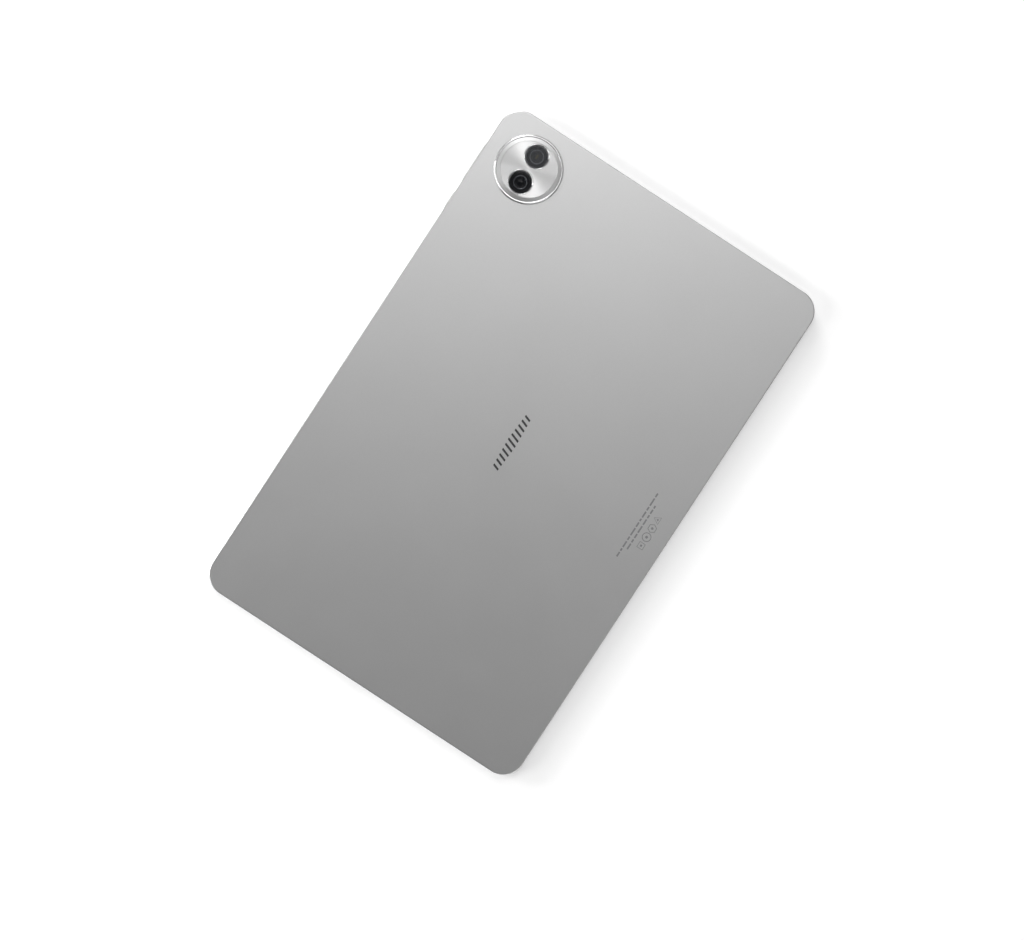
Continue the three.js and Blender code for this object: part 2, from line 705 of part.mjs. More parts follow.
function speakerMesh() {
  const span = (GRILLE_HOLES - 1) * GRILLE_PITCH + 4;
  const x = WALL_X - SPEAKER_X;
  return box(x - 0.2, x - 0.05, -span / 2, span / 2, SIDE_HOLE_Z - 1.1, SIDE_HOLE_Z + 1.1);
}

for (const [place, sideX, sideY] of [
  ["left_top", -1, 1],
  ["left_bottom", -1, -1],
  ["right_top", 1, 1],
  ["right_bottom", 1, -1],
]) {
  const speaker = new THREE.Group();
  speaker.position.set(sideX * SPEAKER_X, sideY * GRILLE_Y, 0);
  speaker.rotation.z = sideX < 0 ? Math.PI : 0;
  tablet.add(speaker);
  part("speaker_box_" + place, speakerBox(), blackPlastic, speaker);
  part("speaker_diaphragm_" + place, speakerDiaphragm(), copper, speaker);
  part("speaker_mesh_" + place, speakerMesh(), weave, speaker);
}

part("microphone_side", box(-WALL_X + 0.1, -WALL_X + 2.8, SIDE_MIC_Y - 1.8, SIDE_MIC_Y + 1.8, 2.8, 3.8), steel);
part("microphone_top", box(TOP_MIC_X - 1.8, TOP_MIC_X + 1.8, WALL_Y - 2.9, WALL_Y - 0.1, 2.8, 3.8), steel);

export default tablet;
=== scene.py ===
"""Looks for a tablet computer that lies on its screen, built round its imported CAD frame.

Metres, +Z up.
"""

import json
import math

import bmesh
import bpy
from mathutils import Matrix, Vector


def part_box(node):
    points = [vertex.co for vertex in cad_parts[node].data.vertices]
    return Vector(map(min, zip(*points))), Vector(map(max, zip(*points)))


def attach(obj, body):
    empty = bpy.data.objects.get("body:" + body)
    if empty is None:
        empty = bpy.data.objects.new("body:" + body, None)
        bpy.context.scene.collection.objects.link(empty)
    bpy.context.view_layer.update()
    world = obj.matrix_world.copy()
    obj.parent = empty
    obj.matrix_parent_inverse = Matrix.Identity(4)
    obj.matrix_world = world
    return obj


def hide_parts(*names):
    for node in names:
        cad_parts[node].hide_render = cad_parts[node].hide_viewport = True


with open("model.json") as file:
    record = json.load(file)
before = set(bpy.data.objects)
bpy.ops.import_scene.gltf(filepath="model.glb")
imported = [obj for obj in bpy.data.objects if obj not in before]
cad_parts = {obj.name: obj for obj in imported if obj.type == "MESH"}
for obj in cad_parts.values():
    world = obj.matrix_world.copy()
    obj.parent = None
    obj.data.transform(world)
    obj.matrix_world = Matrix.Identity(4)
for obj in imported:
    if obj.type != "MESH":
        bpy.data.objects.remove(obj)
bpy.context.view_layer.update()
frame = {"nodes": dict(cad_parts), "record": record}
NODES = frame["nodes"]
MM = 0.001

# ---------------------------------------------------------------- dimensions, in millimetres


def box_mm(node):
    """A CAD node's lowest and highest corners, in millimetres."""
    low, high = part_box(node)
    return low / MM, high / MM


def centre_of(node):
    """A CAD node's middle, in millimetres."""
    low, high = box_mm(node)
    return (low + high) / 2


HOUSING_LOW, HOUSING_HIGH = box_mm("rear_housing")
HALF_X = HOUSING_HIGH.x
HALF_Y = HOUSING_HIGH.y
BACK_Z = HOUSING_HIGH.z
RIM_Z = HOUSING_LOW.z
CORNER_R = 11.0
BACK_EDGE_R = 0.6
RIM_EDGE_R = 0.35
LIP_T = 1.2
WALL_T = 3.0
LEDGE_Z = 1.95
BAY_TOP = 5.5

DECK_LOW, DECK_HIGH = box_mm("camera_deck_ring")
DECK = centre_of("camera_deck_ring")
DECK_R = DECK_HIGH.x - DECK.x
DECK_TOP = DECK_HIGH.z
PLATE_LOW, PLATE_HIGH = box_mm("camera_deck_plate")
PLATE_R = PLATE_HIGH.x - DECK.x
DECK_SEAT_Z = 6.0
BAND_Z = 7.1
DECK_HOLE_R = 13.0
RECESS_R = DECK_R + 0.2

CAMERA = centre_of("camera_window")
FLASH = centre_of("flash_window")
WINDOW_LOW, WINDOW_HIGH = box_mm("camera_window")
WINDOW_R = WINDOW_HIGH.x - CAMERA.x
TRIM_LOW, TRIM_HIGH = box_mm("camera_trim_ring")
TRIM_R = TRIM_HIGH.x - CAMERA.x

SIDE_HOLE_Z = 3.3
GRILLE_HOLES = 10
GRILLE_HOLE_R = 0.65
GRILLE_MARGIN = 4.0  # how much longer a mesh strip is than its row of holes
MIC_HOLE_R = 0.45
HOLE_DEPTH = WALL_T + 0.6

KEYS = ("power_button", "volume_rocker")
KEY_Z = centre_of("power_button").z
KEY_HEIGHT = 2.4
KEY_SLOT_HEIGHT = 2.64
KEY_GAP = 0.24  # how much longer a slot is than its key
KEY_SHOULDERS = 2.4  # how much longer a key's flange is than its cap
USB = centre_of("usb_c_shell")

ROUND = 96  # facets on a large turned piece
CORNER_STEPS = 20  # facets on a quarter turn of the tablet's corner
SLOT_STEPS = 12  # facets on a quarter turn of a key's or socket's end
SMOOTH_DEG = 32.0  # edges sharper than this stay sharp
WELD = 1e-7  # metres

# ---------------------------------------------------------------- mesh building


def place(obj):
    bpy.context.scene.collection.objects.link(obj)
    return obj


def mesh_object(name, bm, smooth_deg=SMOOTH_DEG):
    """A mesh object from a bmesh in millimetres, smooth but for edges over smooth_deg."""
    bmesh.ops.recalc_face_normals(bm, faces=bm.faces)
    bmesh.ops.scale(bm, vec=(MM, MM, MM), verts=bm.verts)
    mesh = bpy.data.meshes.new(name)
    bm.to_mesh(mesh)
    bm.free()
    mesh.shade_smooth()
    mesh.set_sharp_from_angle(angle=math.radians(smooth_deg))
    return place(bpy.data.objects.new(name, mesh))


def weigh_normals(obj):
    """Keeps a piece's large flat faces flat up to their rounded edges."""
    modifier = obj.modifiers.new("flat_faces", "WEIGHTED_NORMAL")
    modifier.mode = "FACE_AREA"
    modifier.weight = 50
    modifier.keep_sharp = True


def arc(radius, start_deg, end_deg, steps, centre=(0.0, 0.0)):
    """Points along an arc, both ends included."""
    points = []
    for i in range(steps + 1):
        a = math.radians(start_deg + (end_deg - start_deg) * i / steps)
        points.append((centre[0] + radius * math.cos(a), centre[1] + radius * math.sin(a)))
    return points


def rounded_outline(half_x, half_y, radius, steps):
    """A rectangle with round corners, counter-clockwise, centred on the origin."""
    points = []
    for quarter, (sx, sy) in enumerate(((1, 1), (-1, 1), (-1, -1), (1, -1))):
        middle = (sx * (half_x - radius), sy * (half_y - radius))
        points += arc(radius, 90 * quarter, 90 * quarter + 90, steps, middle)
    return points


def skin(bm, loops, close=False):
    """Joins equal loops of points into a closed body, with a cap at each end.

    When close is true, the last loop is joined to the first and there are no caps.
    """
    rows = [[bm.verts.new(p) for p in loop] for loop in loops]
    count = len(rows[0])
    pairs = list(zip(rows, rows[1:]))
    if close:
        pairs.append((rows[-1], rows[0]))
    for low, high in pairs:
        for i in range(count):
            j = (i + 1) % count
            bm.faces.new((low[i], low[j], high[j], high[i]))
    if not close:
        bm.faces.new(rows[0])
        bm.faces.new(rows[-1])
    return rows


def turned(bm, profile, middle=(0.0, 0.0), sides=ROUND, close=True):
    """A body turned round a line along Z through middle, from (radius, z) points.

    A point on the axis is a pole.
    """
    turns = [2 * math.pi * i / sides for i in range(sides)]
    ring = [(math.cos(a), math.sin(a)) for a in turns]
    rows = []
    for radius, z in profile:
        if radius == 0:
            rows.append([bm.verts.new((middle[0], middle[1], z))])
        else:
            points = [(middle[0] + radius * c, middle[1] + radius * s, z) for c, s in ring]
            rows.append([bm.verts.new(point) for point in points])
    pairs = list(zip(rows, rows[1:]))
    if close:
        pairs.append((rows[-1], rows[0]))
    for low, high in pairs:
        for i in range(sides):
            j = (i + 1) % sides
            corners = [low[i % len(low)], low[j % len(low)]]
            corners += [high[j % len(high)], high[i % len(high)]]
            unique = list(dict.fromkeys(corners))
            if len(unique) > 2:
                bm.faces.new(unique)
    return bm


def regular_outline(radius, sides, middle, first_deg=0):
    """A regular polygon's corners, counter-clockwise from the bearing first_deg."""
    return arc(radius, first_deg, first_deg + 360, sides, middle)[:-1]


def slab(bm, x0, x1, y0, y1, z0, z1):
    """A plain box, for cutters and small inner blocks."""
    corners = [(x0, y0), (x1, y0), (x1, y1), (x0, y1)]
    skin(bm, [[(x, y, z0) for x, y in corners], [(x, y, z1) for x, y in corners]])


def along_x(points, x):
    """A loop of (y, z) points at one x."""
    return [(x, y, z) for y, z in points]


def along_y(points, y):
    """A loop of (x, z) points at one y, turned so that it still runs counter-clockwise."""
    return [(x, y, z) for x, z in reversed(points)]


def bar_loop(length, height, inset, x, z):
    """A slot-shaped outline, centred on x and z. Its ends are a hair short of half circles."""
    half_l, half_h = length / 2 - inset, height / 2 - inset
    outline = rounded_outline(half_l, half_h, half_h * 0.999, SLOT_STEPS)
    return [(px + x, pz + z) for px, pz in outline]


def cut(obj, cutter, operation="DIFFERENCE"):
    """Applies one boolean to obj and removes the cutter."""
    modifier = obj.modifiers.new("cut", "BOOLEAN")
    modifier.operation = operation
    modifier.solver = "EXACT"
    modifier.object = cutter
    bpy.context.view_layer.update()
    evaluated = obj.evaluated_get(bpy.context.evaluated_depsgraph_get())
    mesh = bpy.data.meshes.new_from_object(evaluated)
    obj.modifiers.clear()
    old = obj.data
    obj.data = mesh
    bpy.data.meshes.remove(old)
    mesh.name = obj.name
    bpy.data.objects.remove(cutter)


def tidy_mesh(obj):
    """Welds the leavings of a boolean and sets the shading again."""
    bm = bmesh.new()
    bm.from_mesh(obj.data)
    bmesh.ops.remove_doubles(bm, verts=bm.verts, dist=WELD)
    bmesh.ops.dissolve_degenerate(bm, dist=WELD, edges=bm.edges)
    bm.to_mesh(obj.data)
    bm.free()
    obj.data.shade_smooth()
    obj.data.set_sharp_from_angle(angle=math.radians(SMOOTH_DEG))


# ---------------------------------------------------------------- materials


class Nodes:
    """A material's node tree, with short calls for the nodes that these finishes use."""

    def __init__(self, name):
        self.material = bpy.data.materials.new(name)
        self.material.use_nodes = True
        self.tree = self.material.node_tree
        self.shader = self.tree.nodes["Principled BSDF"]
        self.coords = self.add("ShaderNodeTexCoord").outputs["Object"]

    def add(self, kind, **settings):
        node = self.tree.nodes.new(kind)
        for key, value in settings.items():
            setattr(node, key, value)
        return node

    def feed(self, socket, value):
        if isinstance(value, bpy.types.NodeSocket):
            self.tree.links.new(value, socket)
        else:
            socket.default_value = value

    def set(self, **values):
        """Sets or links the shader's sockets, named with underscores for spaces."""
        for key, value in values.items():
            self.feed(self.shader.inputs[key.replace("_", " ")], value)
        return self

    def maths(self, operation, a, b=0.0, clamp=False):
        node = self.add("ShaderNodeMath", operation=operation, use_clamp=clamp)
        self.feed(node.inputs[0], a)
        self.feed(node.inputs[1], b)
        return node.outputs[0]

    def noise(self, scale, detail=2.0, roughness=0.5, vector=None):
        node = self.add("ShaderNodeTexNoise")
        node.inputs["Scale"].default_value = scale
        node.inputs["Detail"].default_value = detail
        node.inputs["Roughness"].default_value = roughness
        self.tree.links.new(vector or self.coords, node.inputs["Vector"])
        return node.outputs["Fac"]

    def stretched(self, scale):
        """The object's coordinates, scaled by one factor per axis."""
        node = self.add("ShaderNodeMapping")
        node.inputs["Scale"].default_value = scale
        self.tree.links.new(self.coords, node.inputs["Vector"])
        return node.outputs["Vector"]

    def spread(self, value, low, high, start=0.3, end=0.7):
        """Maps start..end to low..high."""
        node = self.add("ShaderNodeMapRange")
        node.inputs["From Min"].default_value = start
        node.inputs["From Max"].default_value = end
        node.inputs["To Min"].default_value = low
        node.inputs["To Max"].default_value = high
        self.tree.links.new(value, node.inputs["Value"])
        return node.outputs["Result"]

    def blend(self, factor, first, second):
        node = self.add("ShaderNodeMix", data_type="RGBA")
        self.feed(node.inputs["Factor"], factor)
        self.feed(node.inputs["A"], (*first, 1.0) if isinstance(first, tuple) else first)
        self.feed(node.inputs["B"], (*second, 1.0) if isinstance(second, tuple) else second)
        return node.outputs["Result"]

    def bump(self, height, strength, distance_mm):
        node = self.add("ShaderNodeBump")
        node.inputs["Strength"].default_value = strength
        node.inputs["Distance"].default_value = distance_mm * MM
        self.tree.links.new(height, node.inputs["Height"])
        self.tree.links.new(node.outputs["Normal"], self.shader.inputs["Normal"])
        return self


def tint(color, factor):
    return tuple(min(1.0, c * factor) for c in color)


def edge_distance(n):
    """Node maths for how far a point lies inside the tablet's outline, in millimetres."""
    split = n.add("ShaderNodeSeparateXYZ")
    n.tree.links.new(n.coords, split.inputs[0])
    reach = []
    for axis, half in (("X", HALF_X), ("Y", HALF_Y)):
        size = n.maths("ABSOLUTE", split.outputs[axis])
        reach.append(n.maths("SUBTRACT", size, (half - CORNER_R) * MM))
    outside = [n.maths("MAXIMUM", r, 0.0) for r in reach]
    squares = [n.maths("MULTIPLY", o, o) for o in outside]
    corner = n.maths("SQRT", n.maths("ADD", squares[0], squares[1]))
    inner = n.maths("MINIMUM", n.maths("MAXIMUM", reach[0], reach[1]), 0.0)
    signed = n.maths("ADD", corner, inner)
    return n.maths("MULTIPLY", n.maths("SUBTRACT", CORNER_R * MM, signed), 1 / MM)


def anodised(name, color, roughness, edge_polish=False):
    """Bead-blasted, anodised aluminium: a fine grain and faint cloudiness.

    With edge_polish, the rounded edges are rubbed a little smoother.
    """
    n = Nodes(name)
    cloud = n.noise(18.0, 3.0)
    speck = n.noise(2600.0, 1.0)
    grain = n.noise(5200.0, 2.0, 0.6)
    shade = n.maths("ADD", n.spread(cloud, -0.4, 0.4), n.spread(speck, 0.1, 0.9))
    n.set(Metallic=1.0, Base_Color=n.blend(shade, tint(color, 0.985), tint(color, 1.015)))
    rough = n.spread(n.noise(60.0, 4.0), roughness - 0.005, roughness + 0.005)
    if edge_polish:
        wear = n.spread(edge_distance(n), 0.07, 0.0, 0.25, 1.0)
        patchy = n.maths("MULTIPLY", wear, n.spread(n.noise(110.0, 3.0), 0.5, 1.2))
        rough = n.maths("SUBTRACT", rough, patchy)
    n.set(Roughness=rough)
    return n.bump(grain, 0.12, 0.012).material


def polished(name, color, roughness):
    """Polished metal with hairline scuffs."""
    n = Nodes(name)
    scuff = n.noise(700.0, 5.0, 0.7, n.stretched((1.0, 1.0, 3.0)))
    haze = n.noise(140.0, 3.0)
    n.set(Metallic=1.0, Base_Color=n.blend(haze, tint(color, 0.97), color))
    n.set(Roughness=n.spread(scuff, roughness, roughness + 0.05, 0.45, 0.8))
    return n.bump(scuff, 0.05, 0.01).material


def circular_brushed(name, color, roughness, anisotropy):
    """Metal spun under a brush: fine rings round the piece's own axis, and fanned highlights."""
    n = Nodes(name)
    split = n.add("ShaderNodeSeparateXYZ")
    n.tree.links.new(n.coords, split.inputs[0])
    squares = [n.maths("MULTIPLY", split.outputs[axis], split.outputs[axis]) for axis in "XY"]
    radius = n.maths("SQRT", n.maths("ADD", squares[0], squares[1]))
    along = n.add("ShaderNodeCombineXYZ")
    n.tree.links.new(radius, along.inputs["X"])
    groove = n.noise(9000.0, 3.0, 0.7, along.outputs[0])
    band = n.noise(900.0, 2.0, 0.5, along.outputs[0])
    shade = n.spread(groove, 0.0, 1.0)
    n.set(Metallic=1.0, Base_Color=n.blend(shade, tint(color, 0.96), color))
    n.set(Roughness=n.spread(band, roughness - 0.02, roughness + 0.02))
    n.shader.inputs["Anisotropic"].default_value = anisotropy
    n.shader.inputs["Anisotropic Rotation"].default_value = 0.25
    tangent = n.add("ShaderNodeTangent", direction_type="RADIAL", axis="Z")
    n.tree.links.new(tangent.outputs[0], n.shader.inputs["Tangent"])
    return n.bump(groove, 0.08, 0.004).material


def plastic(name, color, roughness, grain_scale=2500.0, grain=0.15):
    """Moulded plastic with a fine spark-eroded grain."""
    n = Nodes(name)
    texture = n.noise(grain_scale, 3.0, 0.6)
    n.set(Base_Color=n.blend(n.noise(90.0, 2.0), tint(color, 0.85), tint(color, 1.15)))
    n.set(Roughness=n.spread(texture, roughness - 0.06, roughness + 0.06))
    return n.bump(texture, grain, 0.01).material


def sheet_metal(name, color, roughness):
    """Rolled sheet: streaks along X and a few dull patches."""
    n = Nodes(name)
    streak = n.noise(900.0, 4.0, 0.6, n.stretched((0.05, 1.0, 1.0)))
    patch = n.noise(120.0, 3.0)
    n.set(Metallic=1.0, Base_Color=n.blend(patch, tint(color, 0.9), tint(color, 1.05)))
    n.set(Roughness=n.spread(streak, roughness - 0.08, roughness + 0.08))
    return n.bump(streak, 0.06, 0.01).material


def circuit_mask(name, color):
    """Solder mask over copper: a faint grid of tracks and pads under a satin coat."""
    n = Nodes(name)
    cells = n.add("ShaderNodeTexVoronoi", distance="CHEBYCHEV")
    cells.inputs["Scale"].default_value = 420.0
    n.tree.links.new(n.coords, cells.inputs["Vector"])
    track = n.spread(cells.outputs["Distance"], 1.0, 0.0, 0.28, 0.34)
    n.set(Base_Color=n.blend(track, tint(color, 0.8), tint(color, 1.9)))
    n.set(Roughness=n.spread(n.noise(800.0, 2.0), 0.32, 0.46))
    return n.bump(track, 0.2, 0.03).material


def film(name, color):
    """Thin polyimide film with darker tracks along Y."""
    n = Nodes(name)
    lines = n.noise(1100.0, 0.0, 0.5, n.stretched((1.0, 0.02, 0.02)))
    track = n.spread(lines, 0.0, 1.0, 0.45, 0.55)
    n.set(Base_Color=n.blend(track, tint(color, 0.7), tint(color, 1.2)))
    n.set(Roughness=n.spread(n.noise(300.0, 2.0), 0.28, 0.4))
    return n.bump(lines, 0.15, 0.02).material


def woven(name, color):
    """Fine acoustic mesh: two crossed sets of threads."""
    n = Nodes(name)
    waves = []
    for direction in ("Y", "Z"):
        wave = n.add("ShaderNodeTexWave", wave_type="BANDS", bands_direction=direction)
        wave.inputs["Scale"].default_value = 1600.0
        n.tree.links.new(n.coords, wave.inputs["Vector"])
        waves.append(wave.outputs["Fac"])
    threads = n.maths("MULTIPLY", waves[0], waves[1])
    n.set(Base_Color=n.blend(threads, tint(color, 0.3), tint(color, 2.0)))
    n.set(Roughness=n.spread(threads, 0.6, 0.9))
    return n.bump(threads, 0.5, 0.03).material


def black_glass(name, border_mm=None):
    """Blacked-out glass with a faint smear film.

    With border_mm, the display area inside that border is a shade lighter.
    """
    n = Nodes(name)
    smear = n.noise(45.0, 5.0, 0.6)
    dark = (0.004, 0.0042, 0.005)
    color = n.blend(smear, tint(dark, 0.8), tint(dark, 1.2))
    if border_mm:
        active = n.spread(edge_distance(n), 0.0, 1.0, border_mm, border_mm + 0.15)
        color = n.blend(active, color, (0.011, 0.0115, 0.013))
    n.set(Base_Color=color, Roughness=n.spread(smear, 0.035, 0.085), IOR=1.5)
    return n.bump(n.noise(30.0, 2.0), 0.02, 0.05).material


def window_glass(name, color, alpha):
    """Dark lens cover: mostly clear, with a hard gloss."""
    n = Nodes(name)
    smear = n.noise(300.0, 4.0, 0.6)
    n.set(Base_Color=n.blend(smear, tint(color, 0.8), color))
    n.set(Roughness=n.spread(smear, 0.02, 0.05))
    n.set(IOR=1.52, Alpha=alpha, Specular_IOR_Level=0.5)
    return n.bump(n.noise(200.0, 2.0), 0.01, 0.02).material


def lens_element(name, color, coat_color):
    """A coated lens: near black, with a faint coloured bloom that comes and goes with the angle."""
    n = Nodes(name)
    facing = n.add("ShaderNodeLayerWeight")
    facing.inputs["Blend"].default_value = 0.35
    ring = n.noise(400.0, 1.0)
    shade = n.maths("MULTIPLY", facing.outputs["Facing"], n.spread(ring, 0.7, 1.1))
    n.set(Base_Color=n.blend(shade, color, coat_color), IOR=1.7)
    n.set(Roughness=n.spread(ring, 0.03, 0.07))
    return n.material


def ink(name, color, roughness):
    """Printed ink, a little uneven."""
    n = Nodes(name)
    mottle = n.noise(900.0, 3.0)
    n.set(Base_Color=n.blend(mottle, tint(color, 0.9), tint(color, 1.1)))
    n.set(Roughness=n.spread(mottle, roughness - 0.05, roughness + 0.05))
    return n.bump(mottle, 0.05, 0.01).material


def lamp_die(name, color):
    """The phosphor coat on a flash LED."""
    n = Nodes(name)
    crystal = n.noise(6000.0, 3.0)
    n.set(Base_Color=n.blend(crystal, tint(color, 0.85), color))
    n.set(Roughness=n.spread(crystal, 0.5, 0.7))
    return n.bump(crystal, 0.3, 0.01).material


SILVER = (0.60, 0.60, 0.60)
MATERIALS = {
    "housing": anodised("anodised_silver", SILVER, 0.40, edge_polish=True),
    "keys": anodised("anodised_key", tint(SILVER, 1.06), 0.34),
    "polished": polished("polished_metal", (0.80, 0.80, 0.805), 0.17),
    "satin": circular_brushed("satin_metal", (0.68, 0.68, 0.68), 0.40, 0.2),
    "spun": circular_brushed("spun_metal", (0.68, 0.68, 0.68), 0.31, 0.93),
    "front_glass": black_glass("front_glass", border_mm=7.5),
    "panel": black_glass("panel_glass"),
    "camera_glass": window_glass("camera_glass", (0.002, 0.003, 0.005), 0.35),
    "flash_glass": window_glass("flash_glass", (0.012, 0.014, 0.019), 0.42),
    "lens": lens_element("coated_lens", (0.001, 0.001, 0.002), (0.010, 0.012, 0.03)),
    "gloss_black": plastic("gloss_black", (0.006, 0.007, 0.010), 0.16, 900.0, 0.03),
    "rim": polished("rim_metal", (0.55, 0.57, 0.61), 0.30),
    "smoke": plastic("smoke_grey", (0.030, 0.033, 0.038), 0.45),
    "black_plastic": plastic("black_plastic", (0.016, 0.016, 0.018), 0.5),
    "white_plastic": plastic("white_plastic", (0.72, 0.73, 0.74), 0.45),
    "clear_plastic": plastic("clear_acrylic", (0.75, 0.78, 0.80), 0.12, 600.0, 0.03),
    "rubber": plastic("foam_rubber", (0.010, 0.010, 0.010), 0.85, 1500.0, 0.5),
    "steel": sheet_metal("sheet_steel", (0.62, 0.63, 0.64), 0.30),
    "contact": sheet_metal("gold_contact", (0.83, 0.62, 0.28), 0.22),
    "board": circuit_mask("solder_mask", (0.010, 0.045, 0.028)),
    "film": film("flex_film", (0.30, 0.14, 0.03)),
    "foil": plastic("battery_foil", (0.035, 0.036, 0.040), 0.38, 700.0, 0.4),
    "graphite": sheet_metal("graphite_sheet", (0.10, 0.10, 0.105), 0.5),
    "cone": film("cone_film", (0.16, 0.09, 0.04)),
    "mesh": woven("acoustic_mesh", (0.018, 0.018, 0.020)),
    "mark_ink": ink("mark_ink", (0.030, 0.030, 0.032), 0.42),
    "fine_ink": ink("fine_ink", (0.20, 0.20, 0.205), 0.5),
    "die": lamp_die("lamp_phosphor", (0.35, 0.30, 0.10)),
}

SLOT_FINISH = {
    "anodised_housing": "housing",
    "anodised_keys": "keys",
    "polished_metal": "polished",
    "spun_metal": "spun",
    "black_glass": "panel",
    "window_glass": "camera_glass",
    "clear_plastic": "clear_plastic",
    "black_plastic": "black_plastic",
    "black_rubber": "rubber",
    "white_plastic": "white_plastic",
    "sheet_steel": "steel",
    "circuit_board": "board",
    "flex_film": "film",
    "battery_foil": "foil",
    "graphite": "graphite",
    "diaphragm": "cone",
    "mesh_cloth": "mesh",
}


def paint(obj, *finishes):
    if obj.data.materials:
        obj.data.materials.clear()
    for finish in finishes:
        obj.data.materials.append(MATERIALS[finish])
    return obj


def piece(obj, body, slot, replaces, *finishes):
    """Paints a new piece, seats it on its CAD body, and hides the CAD nodes that it stands for."""
    paint(obj, *finishes)
    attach(obj, body)
    if replaces:
        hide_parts(*replaces)
    return obj


for entry in frame["record"]["subparts"]:
    node = NODES[entry["node"]]
    paint(node, SLOT_FINISH[entry["material_slot"]])

# ---------------------------------------------------------------- rear housing


def inset_loop(inset, z):
    """The tablet's outline, drawn in by inset, at height z."""
    outline = rounded_outline(HALF_X - inset, HALF_Y - inset, CORNER_R - inset, CORNER_STEPS)
    return [(x, y, z) for x, y in outline]


def housing_blank():
    """The shell without its openings: back, rounded edge, side, rim, lip, ledge and bay."""
    levels = []
    for x, z in arc(BACK_EDGE_R, 90, 0, 10):
        levels.append((BACK_EDGE_R - x, BACK_Z - BACK_EDGE_R + z))
    for x, z in arc(RIM_EDGE_R, 0, -90, 5):
        levels.append((RIM_EDGE_R - x, RIM_Z + RIM_EDGE_R + z))
    levels += [
        (LIP_T - 0.1, RIM_Z),
        (LIP_T, RIM_Z + 0.1),
        (LIP_T, LEDGE_Z),
        (WALL_T, LEDGE_Z),
        (WALL_T, BAY_TOP),
    ]
    bm = bmesh.new()
    skin(bm, [inset_loop(inset, z) for inset, z in levels])
    return mesh_object("housing_shell", bm)


def drill(bm, start, direction, radius):
    """A countersunk hole from start, inwards along direction, as a cutter."""
    flare = 0.16
    profile = [
        (0, -1.0),
        (radius + 0.9 + flare, -1.0),
        (radius + flare, 0.0),
        (radius, flare),
        (radius, HOLE_DEPTH),
        (0, HOLE_DEPTH),
    ]
    hole = turned(bmesh.new(), profile, sides=24, close=False)
    turn = Vector((0, 0, 1)).rotation_difference(Vector(direction)).to_matrix().to_4x4()
    bmesh.ops.transform(hole, matrix=Matrix.Translation(start) @ turn, verts=hole.verts)
    hole.normal_update()
    mesh = bpy.data.meshes.new("drill")
    hole.to_mesh(mesh)
    hole.free()
    bm.from_mesh(mesh)
    bpy.data.meshes.remove(mesh)


def grille_places():
    """Each row of grille holes, read from the mesh strip behind it: (side of x, middle y, span)."""
    for name in sorted(NODES):
        if name.startswith("speaker_mesh"):
            middle = centre_of(name)
            low, high = box_mm(name)
            yield math.copysign(1, middle.x), middle.y, (high.y - low.y) - GRILLE_MARGIN


def side_holes():
    """Cutters for the four speaker grilles and the two microphone pinholes."""
    bm = bmesh.new()
    for sign, middle, span in grille_places():
        for i in range(GRILLE_HOLES):
            y = middle - span / 2 + span * i / (GRILLE_HOLES - 1)
            drill(bm, (sign * HALF_X, y, SIDE_HOLE_Z), (-sign, 0, 0), GRILLE_HOLE_R)
    side_mic = centre_of("microphone_side")
    top_mic = centre_of("microphone_top")
    drill(bm, (-HALF_X, side_mic.y, SIDE_HOLE_Z), (1, 0, 0), MIC_HOLE_R)
    drill(bm, (top_mic.x, HALF_Y, SIDE_HOLE_Z), (0, -1, 0), MIC_HOLE_R)
    return mesh_object("side_holes", bm)


def key_slots():
    """Cutters for the slots that the keys stand in, with a chamfered mouth."""
    bm = bmesh.new()
    chamfer = 0.12
    stations = [
        (HALF_Y - 2.6, 0.0),
        (HALF_Y - chamfer, 0.0),
        (HALF_Y, -chamfer),
        (HALF_Y + 1, -chamfer - 1),
    ]
    for node in KEYS:
        low, high = box_mm(node)
        x = (low.x + high.x) / 2
        length = high.x - low.x - KEY_SHOULDERS + KEY_GAP
        loops = []
        for y, inset in stations:
            loops.append(along_y(bar_loop(length, KEY_SLOT_HEIGHT, inset, x, KEY_Z), y))
        skin(bm, loops)
    return mesh_object("key_slots", bm)


def key_pockets():
    """Cutters for the room behind the wall, for each key's flange and for the front camera."""
    bm = bmesh.new()
    for node in KEYS:
        low, high = box_mm(node)
        span_x = (low.x - 0.5, high.x + 0.5)
        slab(bm, *span_x, HALF_Y - 4.15, HALF_Y - 1.65, KEY_Z - 1.35, KEY_Z + 1.35)
    slab(bm, -2.8, 2.8, HALF_Y - 5.25, HALF_Y - 2.05, LEDGE_Z - 0.5, 5.2)
    return mesh_object("key_pockets", bm)


def socket_mouth():
    """The cutter for the charging socket's opening, with a chamfered mouth."""
    low, high = box_mm("usb_c_shell")
    wide, tall = high.y - low.y + 0.3, high.z - low.z + 0.3
    chamfer = 0.15
    stations = [
        (-HALF_X - 1, -chamfer - 1),
        (-HALF_X, -chamfer),
        (-HALF_X + chamfer, 0.0),
        (-HALF_X + WALL_T + 1, 0.0),
    ]
    bm = bmesh.new()
    skin(bm, [along_x(bar_loop(wide, tall, inset, 0, USB.z), x) for x, inset in stations])
    return mesh_object("socket_mouth", bm)


def deck_opening():
    """The cutter for the camera deck's hole and the seat round it."""
    bm = bmesh.new()
    profile = [
        (0, BAY_TOP - 1),
        (DECK_HOLE_R, BAY_TOP - 1),
        (DECK_HOLE_R, DECK_SEAT_Z),
        (RECESS_R, DECK_SEAT_Z),
        (RECESS_R, BACK_Z - 0.1),
        (RECESS_R + 0.1, BACK_Z),
        (RECESS_R + 1.1, BACK_Z + 1),
        (0, BACK_Z + 1),
    ]
    turned(bm, profile, (DECK.x, DECK.y), 2 * ROUND, close=False)
    return mesh_object("deck_opening", bm)


